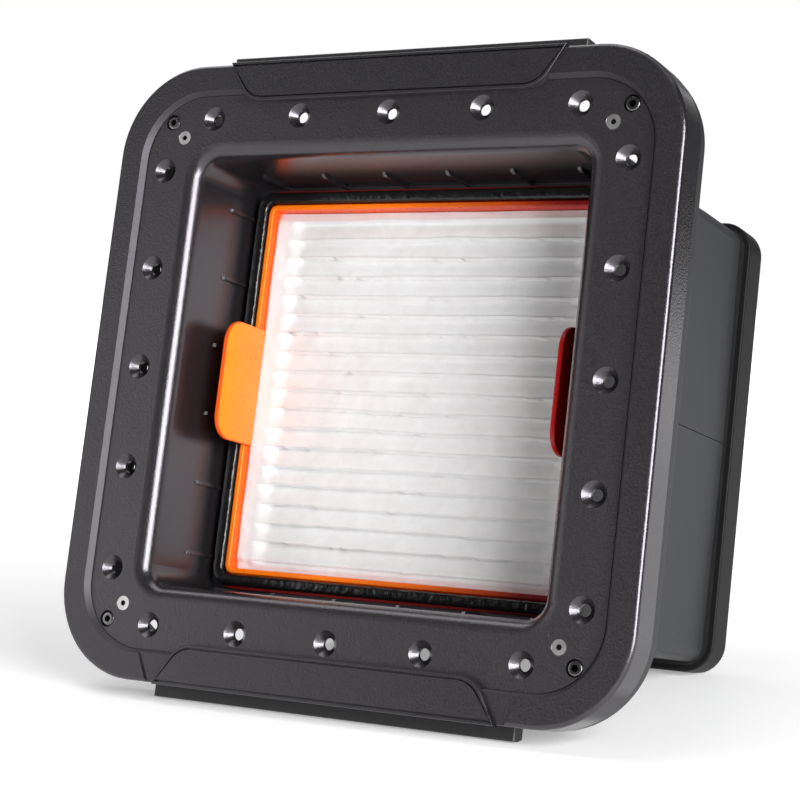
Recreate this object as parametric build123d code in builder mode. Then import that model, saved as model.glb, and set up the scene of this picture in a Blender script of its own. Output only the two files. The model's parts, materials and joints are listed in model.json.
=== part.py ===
from build123d import *
import math
import os

os.makedirs("parts", exist_ok=True)

# Solder fume extractor that stands leaning back on a front foot strip and on the edge of its rear frame.
# Millimetres, +Z up, origin on the floor under the middle of the object. Every piece is drawn on planes
# parallel to the front panel: "depth" runs into the object from the panel's face, x is to the right and
# "rise" is up along the face, both from the middle of the panel.

# Stance
LEAN = 12.75            # degrees that the front face leans back
FACE_HEIGHT = 126.25    # middle of the panel above the floor
FACE_BACK = -74.2       # middle of the panel along Y

# Front panel with its recess
HOLE_PITCH = 40.0
HOLE_ROW = 100.8        # distance of each row of holes from the middle
HOLE_RADIUS = 2.25
SINK_RADIUS = 4.9
PANEL_HALF = 110.2
PANEL_CORNER = 26.0
PANEL_THICK = 4.0
RECESS_HALF = 85.1      # recess wall at the panel's face, before the rolled edge
RECESS_CORNER = 8.0
RECESS_DEPTH = 44.3
RECESS_DRAFT = 1.4      # degrees
ROLL_RADIUS = 6.0
TUB_WALL = 1.8
SEAT_THICK = 2.5
SEAT_OPENING_HALF = 77.2
RIB_PLACES = (-70.0, -42.0, -14.0, 14.0, 42.0, 70.0)
RIB_START = 24.5
RIB_HALF_WIDTH = 0.7
RIB_INNER = 83.0        # how near the ribs come to the middle
RIB_NOSE = (0.4, 1.2)   # sloped front end of a rib: set back from the crest, and its length
RIB_SLOPE_END = 3.0

# Outer frame round the panel
FRAME_HALF = 122.5
FRAME_CORNER = 36.0
FRAME_BACK = 12.2
RIM_RISE = 2.3
RIM_EDGE_RADIUS = 1.8
RIM_INNER_FRONT = 112.0
LEDGE_HALF = 108.0
LEDGE_CORNER = 42.0
FIT_GAP = 0.2

# Backing ring
BACKING_HALF = 122.2
BACKING_INNER = 110.4
BACKING_CORNER = 48.0
BACKING_BACK = 18.0
BACKING_EDGE_RADIUS = 1.0

# Caps and foot strips
CAP_OUTER_EDGE = 122.9
CAP_OUTER_HALF = 73.2
CAP_INNER_EDGE = 106.8
CAP_INNER_HALF = 63.7
CAP_CORNER = 12.0
CAP_RISE = 3.0
CAP_LIP = 1.1
CAP_GROOVE = 0.7
CAP_GROOVE_DEPTH = 1.4
STRIP_HALF = 77.4
STRIP_EDGE = 127.5
STRIP_ROOT = 117.5
STRIP_FRONT = 5.8
FACET_OUTER_HALF = 76.6
FACET_INNER_HALF = 82.3
FACET_DROP = 0.8
FACET_UNDER_CAP = (8.0, 4.0)    # how far the facets run in under the cap, outside and inside
FACET_MARGIN = 1.5
CAP_EDGE_RADIUS = 0.3
STRIP_CHAMFER = 0.4

# Screws in the front face
PANEL_SCREW_AT = 93.5
PANEL_SCREW_SINK = 2.95
FRAME_SCREW_AT = 100.1
FRAME_SCREW_POCKET = 3.25
FRAME_SCREW_POCKET_DEPTH = 2.0

# Screws: heads and shanks as (radius, length), sockets by the radius across their corners
THREAD_RADIUS = 1.5
THREAD_HOLE = 1.55
CLEARANCE_HOLE = 1.65
SUNK_HEAD = (2.8, 1.3)
SUNK_HEAD_AT = 0.1      # countersunk heads lie this far below the surface
SUNK_SOCKET = 1.15
SOCKET_DEPTH = 0.65     # share of the head's height
PANEL_SHANK = (THREAD_RADIUS, 8.0)
FRAME_HEAD = (3.0, 1.8)
FRAME_HEAD_AT = 0.2     # heads stand this far behind the panel's face
FRAME_SHANK = (THREAD_RADIUS, 16.5)
FRAME_SOCKET = 1.45
FRAME_HEAD_DOME = 1.0
REAR_HEAD = (3.0, 2.0)
REAR_SHANK = (THREAD_RADIUS, 25.0)
REAR_SOCKET = 1.3
INLET_SHANK = (THREAD_RADIUS, 9.0)
FAN_HEAD = (3.6, 2.6)
FAN_SHANK = (2.0, 17.0)
FAN_SOCKET = 1.6

# Filter cartridge
TRAY_HALF = 76.0
TRAY_WALL = 2.0
TRAY_CORNER = 3.5
TRAY_FRONT = 40.6
TRAY_BACK = 62.0
TRAY_FLANGE_HALF = 82.2
TRAY_FLANGE_CORNER = 6.0
TRAY_FLANGE_FRONT = 42.0
TRAY_FLANGE_BACK = 44.0
TAB_HALF_HEIGHT = 24.0
TAB_FRONT = 18.0
TAB_INNER = 72.6
TAB_THICK = 2.0
TAB_CORNER = 9.0
GRID_BAR = 3.0
GRID_STEP = 37.0
GRID_THICK = 2.0
BEAD_INNER_HALF = 76.4
BEAD_OUTER_HALF = 81.2
BEAD_HEIGHT = 3.0
BEAD_ROUND = 1.4
MEDIA_HALF = 72.4
MEDIA_FRONT = 42.0
MEDIA_BACK = 58.6

# Carbon stage
CARBON_HALF = 84.5
CARBON_FRONT = 66.0
CARBON_BACK = 90.0
CARBON_WALL = 3.0
CARBON_LIP_HALF = 78.0
CARBON_LIP_THICK = 2.0
CARBON_CORNER = 4.0
CARBON_INNER_CORNER = 1.5

# Grey housing
HOUSING_SEAM_HALF = 90.8    # half-width at the seam
HOUSING_EDGE_HALF = 89.9    # half-width at the top and bottom
HOUSING_RISE = 90.0
HOUSING_CORNER = 6.0
HOUSING_WALL = 2.4
HOUSING_BACK = 144.5
HOUSING_FLANGE_HALF = 98.0
HOUSING_FLANGE_CORNER = 8.5
HOUSING_FLANGE_THICK = 3.0
SEAM_GAP = 0.15
LEDGE_THICK = 3.0
LEDGE_INNER_HALF = 82.0
LEDGE_INNER_CORNER = 3.0
LEDGE_CLEARANCE = 0.3
LEDGE_BITE = 0.4        # how far the ledges run into the walls
BOSS_AT = 79.0
BOSS_INNER = 74.5
BOSS_OUTER = 88.4
BOSS_LENGTH = 40.0
BOSS_THREAD = 25.0
PANEL_THREAD = 5.0

# Rear frame, gasket and cover
GASKET_HALF = 91.5
REAR_HALF = 94.0
REAR_CORNER = 12.5
REAR_FRONT = 146.3
REAR_LEDGE_BACK = 150.0
REAR_BACK = 161.6
REAR_OPENING_HALF = 82.0
REAR_OPENING_CORNER = 20.0
COVER_HALF = 87.6
COVER_CORNER = 6.0
COVER_THICK = 3.0
COVER_CHAMFER = 0.5
REAR_EDGE_RADIUS = 1.6
REAR_FRONT_RADIUS = 0.8
REAR_INNER_RADIUS = 1.0
GASKET_CORNER = 9.5

# Fan: a 120 mm axial fan fixed to the inside of the cover
FAN_RISE = 20.0         # fan axis above the middle of the panel
FAN_HALF = 59.8
FAN_CORNER = 5.0
FAN_LENGTH = 38.0
FAN_HOLE_SPACING = 105.0
FAN_FLANGE = 4.5
DUCT_RADIUS = 58.0
DUCT_OUTER_RADIUS = 59.7
BASE_RADIUS = 26.0
BASE_THICK = 3.5
STRUT_WIDTH = 5.0
BLADE_COUNT = 7
BLADE_TIP_RADIUS = 56.6
BLADE_MIDDLE = 18.5     # blade middle behind the fan's front
BLADE_THICK = 1.8
BLADE_ROOT = (48.0, 22.0)       # pitch in degrees and chord at the hub
BLADE_TIP = (30.0, 34.0)        # the same at the tip
HUB_RADIUS = 27.0
HUB_WALL = 1.5
HUB_FRONT = 5.0
HUB_BACK = 31.0
BOSS_RADIUS = 5.0
BOSS_REACH = 5.5        # length of the boss behind the hub's wall
HUB_EDGE_RADIUS = 3.0
YOKE_INNER = 24.05
MAGNET_INNER = 21.6
STATOR_RADIUS = 21.0
STATOR_FRONT = 16.0
STATOR_BACK = 28.0
TOOTH_COUNT = 9
TOOTH_WIDTH = 3.0
COIL_WALL = 2.0
TUBE_RADIUS = 8.0
SHAFT_RADIUS = 2.0
TUBE_START = 14.0
BEARING_RADIUS = 6.5
BEARING_WIDTH = 4.0
RUNNING_GAP = 0.05
SHAFT_NECK = 1.6
CLIP_THICK = 0.6
YOKE_START = 9.0
MAGNET_START = 11.0
CORE_RING = 2.0         # width of the stator's outer ring
CORE_INNER = 11.0
SLOT_WIDTH = 1.6
COIL_LENGTH = 6.0
COIL_START = 11.6
BOARD_THICK = 1.2
WIRE_RADIUS = 0.8
GUARD_RINGS = (12.0, 21.0, 30.0, 39.0, 48.0, 57.0)
FAN_SCREW_HOLE = 2.2
FAN_MOUNT_HOLE = 2.1
GUARD_EYE = 4.4

# Mains inlet and switch
INLET_X = -38.0
SWITCH_X = 42.0
CONTROLS_RISE = -64.0
INLET_SCREW_SPACING = 40.0
INLET_FLANGE = (50.0, 24.0)
INLET_FLANGE_THICK = 2.5
INLET_BODY = (27.6, 20.6)
INLET_BODY_DEPTH = 22.0
INLET_SOCKET = (24.0, 16.5)
INLET_SOCKET_DEPTH = 14.0
INLET_SOCKET_CORNER = 3.5
INLET_SINK_RADIUS = 3.0
INLET_CHAMFER = 0.6
INLET_CUTOUT = (28.0, 21.0)
CONTACT = (2.0, 4.0)
CONTACT_LENGTH = 11.0
CONTACT_STEP = 7.0
BLADE_TERMINAL = (0.8, 4.8)
TERMINAL_LENGTH = 8.0
SWITCH_BEZEL = (17.0, 25.0)
SWITCH_BEZEL_THICK = 2.0
SWITCH_CHAMFER = 0.5
SWITCH_BODY = (13.0, 21.0)
SWITCH_BODY_DEPTH = 15.0
SWITCH_CUTOUT = (13.4, 21.4)
CAVITY = (10.8, 18.4)
CAVITY_DEPTH = 9.0
PIVOT_BELOW_BEZEL = 4.0
PIVOT_RADIUS = 1.2
PIVOT_LENGTH = 12.0
ROCKER_WIDTH = 10.0
ROCKER_HALF_LENGTH = 8.0
ROCKER_HIGH = 5.4
ROCKER_DISH = 4.2
ROCKER_BARREL = 6.0
ROCKER_TILT = 9.0

lean = math.radians(LEAN)
outward = Vector(0, -math.cos(lean), math.sin(lean))
front = Plane(origin=(0, FACE_BACK, FACE_HEIGHT), x_dir=(1, 0, 0), z_dir=outward)
outward_axis = Axis(front.origin, outward)
floor = Plane.XY

cover_front = REAR_LEDGE_BACK
cover_back = cover_front + COVER_THICK
fan_back = cover_front
fan_front = fan_back - FAN_LENGTH
quarter_turns = (0, 90, 180, 270)


def station(depth):
    """Plane parallel to the panel, this far behind its face, looking out of the object."""
    return front.offset(-depth)


def turned(angle):
    """The panel's plane turned about its own normal."""
    turn = math.radians(angle)
    across = front.x_dir * math.cos(turn) + front.y_dir * math.sin(turn)
    return Plane(front.origin, x_dir=across, z_dir=outward)


def place(x, rise, depth):
    """Point in the object from its distances right, up along the face, and behind the panel's face."""
    return front.origin + front.x_dir * x + front.y_dir * rise - front.z_dir * depth


def square(half, corner, mode=Mode.ADD):
    """Rounded square in the sketch being drawn, given by its half-width."""
    RectangleRounded(2 * half, 2 * half, corner, mode=mode)


def corners(distance, rise=0.0):
    """Four places at this distance left, right, up and down from the middle or from a point above it."""
    return [(x * distance, y * distance + rise) for x in (-1, 1) for y in (-1, 1)]


def front_face(piece):
    """The outermost face that looks out of the front."""
    return piece.faces().sort_by(outward_axis)[-1]


def back_face(piece):
    """The outermost face at the back."""
    return piece.faces().sort_by(outward_axis)[0]


def block(half, corner, start, end, mode=Mode.ADD, taper=0.0):
    """Rounded square block from one depth to another, tapered towards its end."""
    with BuildSketch(station(start)) as outline:
        square(half, corner)
    extrude(outline.sketch, amount=start - end, taper=taper, mode=mode)


def disc(radius, start, end, mode=Mode.ADD, centre=(0, 0)):
    """Round block from one depth to another."""
    with BuildSketch(station(start)) as outline:
        with Locations(centre):
            Circle(radius)
    extrude(outline.sketch, amount=start - end, mode=mode)


def plate(width, height, start, end, mode=Mode.ADD, centre=(0, 0), corner=0.5):
    """Rounded rectangular block from one depth to another."""
    with BuildSketch(station(start)) as outline:
        with Locations(centre):
            RectangleRounded(width, height, corner)
    extrude(outline.sketch, amount=start - end, mode=mode)


def pins(places, radius, start, end, mode=Mode.ADD, taper=0.0):
    """Several equal round blocks at once, or holes."""
    with BuildSketch(station(start)) as outline:
        with Locations(*places):
            Circle(radius)
    extrude(outline.sketch, amount=start - end, taper=taper, mode=mode)


def screws(places, head_at, into, head, shank, socket, countersunk=False):
    """Screws with hexagon sockets; head and shank are (radius, length), and into is -1 from behind."""
    slope = 45 if countersunk else 0
    head_end = head_at + into * head[1]
    pins(places, shank[0], head_at, head_at + into * shank[1])
    pins(places, head[0], head_at, head_end, taper=slope)
    with BuildSketch(station(head_at)) as recess:
        with Locations(*places):
            RegularPolygon(socket, 6)
    extrude(recess.sketch, amount=-into * SOCKET_DEPTH * head[1], mode=Mode.SUBTRACT)


# ---------------------------------------------------------------- front panel with its recess
hole_steps = [HOLE_PITCH * n for n in (-2, -1, 0, 1, 2)]
hole_places = [(x, side * HOLE_ROW) for x in hole_steps for side in (-1, 1)]
hole_places += [(side * HOLE_ROW, y) for y in hole_steps for side in (-1, 1)]
seat_back = RECESS_DEPTH + SEAT_THICK

with BuildPart(front) as front_panel:
    block(PANEL_HALF, PANEL_CORNER, 0, PANEL_THICK)
    block(RECESS_HALF + TUB_WALL, RECESS_CORNER + TUB_WALL, 0, seat_back, taper=RECESS_DRAFT)
    block(RECESS_HALF, RECESS_CORNER, 0, RECESS_DEPTH, taper=RECESS_DRAFT, mode=Mode.SUBTRACT)
    block(SEAT_OPENING_HALF, TRAY_CORNER + 1, 0, seat_back, mode=Mode.SUBTRACT)
    fillet(front_face(front_panel).inner_wires().edges(), ROLL_RADIUS)
    # small ribs down each wall, with a sloped front end
    for turn in quarter_turns:
        wall = turned(turn)
        for rib_place in RIB_PLACES:
            rib_plane = Plane(wall.origin + wall.y_dir * rib_place, x_dir=wall.x_dir, z_dir=wall.y_dir)
            with BuildSketch(rib_plane):
                Polygon(
                    (RECESS_HALF, RIB_START),
                    (RIB_INNER + RIB_NOSE[0], RIB_START + RIB_NOSE[1]),
                    (RIB_INNER, RIB_START + RIB_SLOPE_END),
                    (RIB_INNER, RECESS_DEPTH + 1),
                    (RECESS_HALF, RECESS_DEPTH + 1),
                    align=None,
                )
            extrude(amount=RIB_HALF_WIDTH, both=True)
    with Locations(*hole_places):
        CounterSinkHole(HOLE_RADIUS, SINK_RADIUS, depth=PANEL_THICK, counter_sink_angle=90)
    with Locations(*corners(PANEL_SCREW_AT)):
        CounterSinkHole(THREAD_HOLE, PANEL_SCREW_SINK, depth=PANEL_THICK, counter_sink_angle=90)
    with Locations(*corners(FRAME_SCREW_AT)):
        CounterBoreHole(CLEARANCE_HOLE, FRAME_SCREW_POCKET, FRAME_SCREW_POCKET_DEPTH, depth=PANEL_THICK)
front_panel.part.label = "front_panel"
export_step(front_panel.part, "parts/front_panel.step")


# ---------------------------------------------------------------- frame, caps and foot strips
def cap_outline(side, grow=0.0):
    """Trapezoid outline of a cap at the upper (side 1) or lower (side -1) edge of the frame."""
    Polygon(
        (-CAP_OUTER_HALF - grow, side * (CAP_OUTER_EDGE + grow)),
        (-CAP_INNER_HALF - grow, side * (CAP_INNER_EDGE - grow)),
        (CAP_INNER_HALF + grow, side * (CAP_INNER_EDGE - grow)),
        (CAP_OUTER_HALF + grow, side * (CAP_OUTER_EDGE + grow)),
        align=None,
    )


def inner_corners(sketch, side):
    """The two cap corners nearest the middle of the panel."""
    return sketch.vertices().group_by(Axis.Y)[0 if side > 0 else -1]


def strip_outline(side, grow=0.0):
    """Flat strip that stands out past the frame."""
    with Locations((0, side * (STRIP_ROOT + STRIP_EDGE) / 2)):
        Rectangle(2 * (STRIP_HALF + grow), STRIP_EDGE - STRIP_ROOT + 2 * grow)


rim_slope = math.degrees(math.atan((RIM_INNER_FRONT - PANEL_HALF - FIT_GAP) / RIM_RISE))
with BuildPart(front) as outer_frame:
    block(FRAME_HALF, FRAME_CORNER, FRAME_BACK, -RIM_RISE)
    fillet(front_face(outer_frame).edges(), RIM_EDGE_RADIUS)
    block(LEDGE_HALF, LEDGE_CORNER, FRAME_BACK, -RIM_RISE, mode=Mode.SUBTRACT)
    block(PANEL_HALF + FIT_GAP, PANEL_CORNER, PANEL_THICK, -RIM_RISE, mode=Mode.SUBTRACT)
    block(PANEL_HALF + FIT_GAP, PANEL_CORNER, 0, -RIM_RISE, taper=-rim_slope, mode=Mode.SUBTRACT)
    for side in (1, -1):
        with BuildSketch(station(0)) as pocket:
            cap_outline(side, grow=FIT_GAP)
            fillet(inner_corners(pocket, side), CAP_CORNER)
        extrude(amount=CAP_RISE, mode=Mode.SUBTRACT)
        with BuildSketch(station(FRAME_BACK)):
            strip_outline(side, grow=FIT_GAP)
        extrude(amount=FRAME_BACK - STRIP_FRONT + FIT_GAP, mode=Mode.SUBTRACT)
    # shallow facets between the lower cap and the ends of the rim
    for side in (1, -1):
        with BuildSketch(station(FACET_DROP - RIM_RISE)):
            Polygon(
                (side * (CAP_OUTER_HALF - FACET_UNDER_CAP[0]), -CAP_OUTER_EDGE - 1),
                (side * FACET_OUTER_HALF, -CAP_OUTER_EDGE - 1),
                (side * FACET_OUTER_HALF, -CAP_OUTER_EDGE + 0.6),
                (side * FACET_INNER_HALF, FACET_MARGIN - RIM_INNER_FRONT),
                (side * (CAP_INNER_HALF - FACET_UNDER_CAP[1]), FACET_MARGIN - RIM_INNER_FRONT),
                align=None,
            )
        extrude(amount=FACET_DROP + 1, mode=Mode.SUBTRACT)
    pins(corners(FRAME_SCREW_AT), CLEARANCE_HOLE, 0, FRAME_BACK, mode=Mode.SUBTRACT)
outer_frame.part.label = "outer_frame"
export_step(outer_frame.part, "parts/outer_frame.step")

for name, side in (("top_cap", 1), ("bottom_cap", -1)):
    with BuildPart(front) as cap:
        with BuildSketch(station(0)) as outline:
            cap_outline(side)
            fillet(inner_corners(outline, side), CAP_CORNER)
        extrude(amount=CAP_RISE)
        fillet(front_face(cap).edges(), CAP_EDGE_RADIUS)
        with BuildSketch(station(-CAP_RISE)) as groove:
            cap_outline(side, grow=-CAP_LIP)
            fillet(inner_corners(groove, side), CAP_CORNER - CAP_LIP)
        extrude(amount=-CAP_GROOVE_DEPTH, mode=Mode.SUBTRACT)
        with BuildSketch(station(-CAP_RISE)) as island:
            cap_outline(side, grow=-CAP_LIP - CAP_GROOVE)
            fillet(inner_corners(island, side), CAP_CORNER - CAP_LIP - CAP_GROOVE)
        extrude(amount=-CAP_GROOVE_DEPTH)
    cap.part.label = name
    export_step(cap.part, f"parts/{name}.step")

for name, side in (("top_strip", 1), ("bottom_strip", -1)):
    with BuildPart(front) as strip:
        with BuildSketch(station(FRAME_BACK)):
            strip_outline(side)
        extrude(amount=FRAME_BACK - STRIP_FRONT)
        chamfer(front_face(strip).edges(), STRIP_CHAMFER)
        # the lower strip's corner is cut level with the floor, which makes a flat foot
        split(bisect_by=floor, keep=Keep.TOP)
    strip.part.label = name
    export_step(strip.part, f"parts/{name}.step")

with BuildPart(front) as backing_ring:
    block(BACKING_HALF, FRAME_CORNER, FRAME_BACK, BACKING_BACK)
    block(BACKING_INNER, BACKING_CORNER, FRAME_BACK, BACKING_BACK, mode=Mode.SUBTRACT)
    fillet(back_face(backing_ring).outer_wire().edges(), BACKING_EDGE_RADIUS)
    pins(corners(FRAME_SCREW_AT), THREAD_HOLE, FRAME_BACK, BACKING_BACK, mode=Mode.SUBTRACT)
backing_ring.part.label = "backing_ring"
export_step(backing_ring.part, "parts/backing_ring.step")

with BuildPart(front) as panel_screws:
    screws(corners(PANEL_SCREW_AT), SUNK_HEAD_AT, 1, SUNK_HEAD, PANEL_SHANK, SUNK_SOCKET, countersunk=True)
panel_screws.part.label = "panel_screws"
export_step(panel_screws.part, "parts/panel_screws.step")

with BuildPart(front) as frame_screws:
    screws(corners(FRAME_SCREW_AT), FRAME_HEAD_AT, 1, FRAME_HEAD, FRAME_SHANK, FRAME_SOCKET)
    head_rims = frame_screws.edges().filter_by(GeomType.CIRCLE).group_by(outward_axis)[-1]
    fillet(head_rims, FRAME_HEAD_DOME)
frame_screws.part.label = "frame_screws"
export_step(frame_screws.part, "parts/frame_screws.step")


# ---------------------------------------------------------------- filter cartridge
with BuildPart(front) as filter_tray:
    block(TRAY_HALF, TRAY_CORNER, TRAY_FRONT, TRAY_BACK)
    block(TRAY_FLANGE_HALF, TRAY_FLANGE_CORNER, TRAY_FLANGE_FRONT, TRAY_FLANGE_BACK)
    tray_inside = TRAY_HALF - TRAY_WALL
    block(tray_inside, TRAY_CORNER - TRAY_WALL, TRAY_FRONT, TRAY_BACK, mode=Mode.SUBTRACT)
    # open grid behind the media
    with BuildSketch(station(TRAY_BACK)):
        with Locations(*[(0, GRID_STEP * n) for n in (-1, 0, 1)]):
            Rectangle(2 * tray_inside + 1, GRID_BAR)
        with Locations(*[(GRID_STEP * n, 0) for n in (-1, 0, 1)]):
            Rectangle(GRID_BAR, 2 * tray_inside + 1)
    extrude(amount=GRID_THICK)
    # two pull tabs that stand forward from the side walls
    for tab_face in (TAB_INNER + TAB_THICK, -TAB_INNER):
        tab_plane = Plane(place(tab_face, 0, 0), x_dir=front.y_dir, z_dir=-front.x_dir)
        with BuildSketch(tab_plane) as tab:
            with Locations((0, (TAB_FRONT + TRAY_FLANGE_BACK) / 2)):
                Rectangle(2 * TAB_HALF_HEIGHT, TRAY_FLANGE_BACK - TAB_FRONT)
            fillet(tab.vertices().group_by(Axis.Y)[0], TAB_CORNER)
        extrude(amount=TAB_THICK)
filter_tray.part.label = "filter_tray"
export_step(filter_tray.part, "parts/filter_tray.step")

with BuildPart(front) as filter_gasket:
    bead_front = TRAY_FLANGE_FRONT - BEAD_HEIGHT
    block(BEAD_OUTER_HALF, TRAY_FLANGE_CORNER - 1, TRAY_FLANGE_FRONT, bead_front)
    block(BEAD_INNER_HALF, TRAY_CORNER + 0.4, TRAY_FLANGE_FRONT, bead_front, mode=Mode.SUBTRACT)
    fillet(front_face(filter_gasket).edges(), BEAD_ROUND)
filter_gasket.part.label = "filter_gasket"
export_step(filter_gasket.part, "parts/filter_gasket.step")

with BuildPart(front) as filter_media:
    block(MEDIA_HALF, 1.0, MEDIA_FRONT, MEDIA_BACK)
filter_media.part.label = "filter_media"
export_step(filter_media.part, "parts/filter_media.step")


# ---------------------------------------------------------------- carbon stage
with BuildPart(front) as carbon_frame:
    carbon_inside = CARBON_HALF - CARBON_WALL
    block(CARBON_HALF, CARBON_CORNER, CARBON_FRONT, CARBON_BACK)
    carbon_end = CARBON_BACK - CARBON_LIP_THICK
    block(carbon_inside, CARBON_INNER_CORNER, CARBON_FRONT, carbon_end, mode=Mode.SUBTRACT)
    block(CARBON_LIP_HALF, CARBON_INNER_CORNER, CARBON_FRONT, CARBON_BACK, mode=Mode.SUBTRACT)
carbon_frame.part.label = "carbon_frame"
export_step(carbon_frame.part, "parts/carbon_frame.step")

with BuildPart(front) as carbon_block:
    block(carbon_inside - FIT_GAP, CARBON_INNER_CORNER, CARBON_FRONT + 0.5, carbon_end)
carbon_block.part.label = "carbon_block"
export_step(carbon_block.part, "parts/carbon_block.step")


# ---------------------------------------------------------------- grey housing in two halves
def housing_outline(inset=0.0):
    """Section of the housing: widest at the seam, because each half is moulded with a little draft."""
    seam = HOUSING_SEAM_HALF - inset
    edge = HOUSING_EDGE_HALF - inset
    rise = HOUSING_RISE - inset
    Polygon((seam, 0), (edge, rise), (-edge, rise), (-seam, 0), (-edge, -rise), (edge, -rise), align=None)


def far_corners(sketch):
    """The four corners of the housing's section, without the two at the seam."""
    return sketch.vertices().group_by(Axis.Y)[0] + sketch.vertices().group_by(Axis.Y)[-1]


seam_plane = Plane(front.origin, x_dir=front.x_dir, z_dir=front.y_dir)
boss_middle = (BOSS_INNER + BOSS_OUTER) / 2
boss_width = BOSS_OUTER - BOSS_INNER
for name, side in (("housing_upper", 1), ("housing_lower", -1)):
    with BuildPart(front) as half:
        with BuildSketch(station(PANEL_THICK)) as section:
            housing_outline()
            fillet(far_corners(section), HOUSING_CORNER)
        extrude(amount=PANEL_THICK - HOUSING_BACK)
        block(HOUSING_FLANGE_HALF, HOUSING_FLANGE_CORNER, PANEL_THICK, PANEL_THICK + HOUSING_FLANGE_THICK)
        with BuildSketch(station(PANEL_THICK)) as section:
            housing_outline(HOUSING_WALL)
            fillet(far_corners(section), HOUSING_CORNER - HOUSING_WALL)
        extrude(amount=PANEL_THICK - HOUSING_BACK, mode=Mode.SUBTRACT)
        # ledges in front of and behind the carbon stage
        for ledge_front in (CARBON_FRONT - LEDGE_CLEARANCE - LEDGE_THICK, CARBON_BACK + LEDGE_CLEARANCE):
            with BuildSketch(station(ledge_front)):
                housing_outline(HOUSING_WALL - LEDGE_BITE)
                square(LEDGE_INNER_HALF, LEDGE_INNER_CORNER, mode=Mode.SUBTRACT)
            extrude(amount=-LEDGE_THICK)
        # corner bosses for the rear screws
        with BuildSketch(station(HOUSING_BACK)):
            with Locations(*corners(boss_middle)):
                Rectangle(boss_width, boss_width)
        extrude(amount=BOSS_LENGTH)
        pins(corners(BOSS_AT), THREAD_HOLE, HOUSING_BACK, HOUSING_BACK - BOSS_THREAD, mode=Mode.SUBTRACT)
        thread_end = PANEL_THICK + PANEL_THREAD
        pins(corners(PANEL_SCREW_AT), THREAD_HOLE, PANEL_THICK, thread_end, mode=Mode.SUBTRACT)
        split(bisect_by=seam_plane.offset(side * SEAM_GAP), keep=Keep.TOP if side > 0 else Keep.BOTTOM)
    half.part.label = name
    export_step(half.part, f"parts/{name}.step")


# ---------------------------------------------------------------- rear frame, gasket and cover
with BuildPart(front) as rear_gasket:
    block(GASKET_HALF, GASKET_CORNER, HOUSING_BACK, REAR_FRONT)
    block(REAR_OPENING_HALF, REAR_OPENING_CORNER, HOUSING_BACK, REAR_FRONT, mode=Mode.SUBTRACT)
    pins(corners(BOSS_AT), CLEARANCE_HOLE, HOUSING_BACK, REAR_FRONT, mode=Mode.SUBTRACT)
rear_gasket.part.label = "rear_gasket"
export_step(rear_gasket.part, "parts/rear_gasket.step")

with BuildPart(front) as rear_frame:
    block(REAR_HALF, REAR_CORNER, REAR_FRONT, REAR_BACK)
    fillet(back_face(rear_frame).edges(), REAR_EDGE_RADIUS)
    fillet(front_face(rear_frame).edges(), REAR_FRONT_RADIUS)
    block(REAR_OPENING_HALF, REAR_OPENING_CORNER, REAR_FRONT, REAR_BACK, mode=Mode.SUBTRACT)
    block(COVER_HALF + FIT_GAP, COVER_CORNER, REAR_LEDGE_BACK, REAR_BACK, mode=Mode.SUBTRACT)
    fillet(back_face(rear_frame).inner_wires().edges(), REAR_INNER_RADIUS)
    pins(corners(BOSS_AT), CLEARANCE_HOLE, REAR_FRONT, REAR_LEDGE_BACK, mode=Mode.SUBTRACT)
    # the lower rear corner is cut level with the floor, which makes the rear foot
    split(bisect_by=floor, keep=Keep.TOP)
rear_frame.part.label = "rear_frame"
export_step(rear_frame.part, "parts/rear_frame.step")

fan_bolts = corners(FAN_HOLE_SPACING / 2, FAN_RISE)
inlet_bolts = [(INLET_X + side * INLET_SCREW_SPACING / 2, CONTROLS_RISE) for side in (-1, 1)]
inlet_at = (INLET_X, CONTROLS_RISE)
switch_at = (SWITCH_X, CONTROLS_RISE)
fan_at = (0, FAN_RISE)

with BuildPart(front) as rear_cover:
    block(COVER_HALF, COVER_CORNER - FIT_GAP, cover_front, cover_back)
    chamfer(back_face(rear_cover).edges(), COVER_CHAMFER)
    disc(DUCT_RADIUS, cover_front, cover_back, mode=Mode.SUBTRACT, centre=fan_at)
    plate(*INLET_CUTOUT, cover_front, cover_back, mode=Mode.SUBTRACT, centre=inlet_at, corner=3.0)
    plate(*SWITCH_CUTOUT, cover_front, cover_back, mode=Mode.SUBTRACT, centre=switch_at)
    pins(fan_bolts, FAN_SCREW_HOLE, cover_front, cover_back, mode=Mode.SUBTRACT)
    pins(inlet_bolts, THREAD_HOLE, cover_front, cover_back, mode=Mode.SUBTRACT)
    pins(corners(BOSS_AT), CLEARANCE_HOLE, cover_front, cover_back, mode=Mode.SUBTRACT)
rear_cover.part.label = "rear_cover"
export_step(rear_cover.part, "parts/rear_cover.step")

with BuildPart(front) as rear_screws:
    screws(corners(BOSS_AT), cover_back + REAR_HEAD[1], -1, REAR_HEAD, REAR_SHANK, REAR_SOCKET)
rear_screws.part.label = "rear_screws"
export_step(rear_screws.part, "parts/rear_screws.step")

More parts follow.
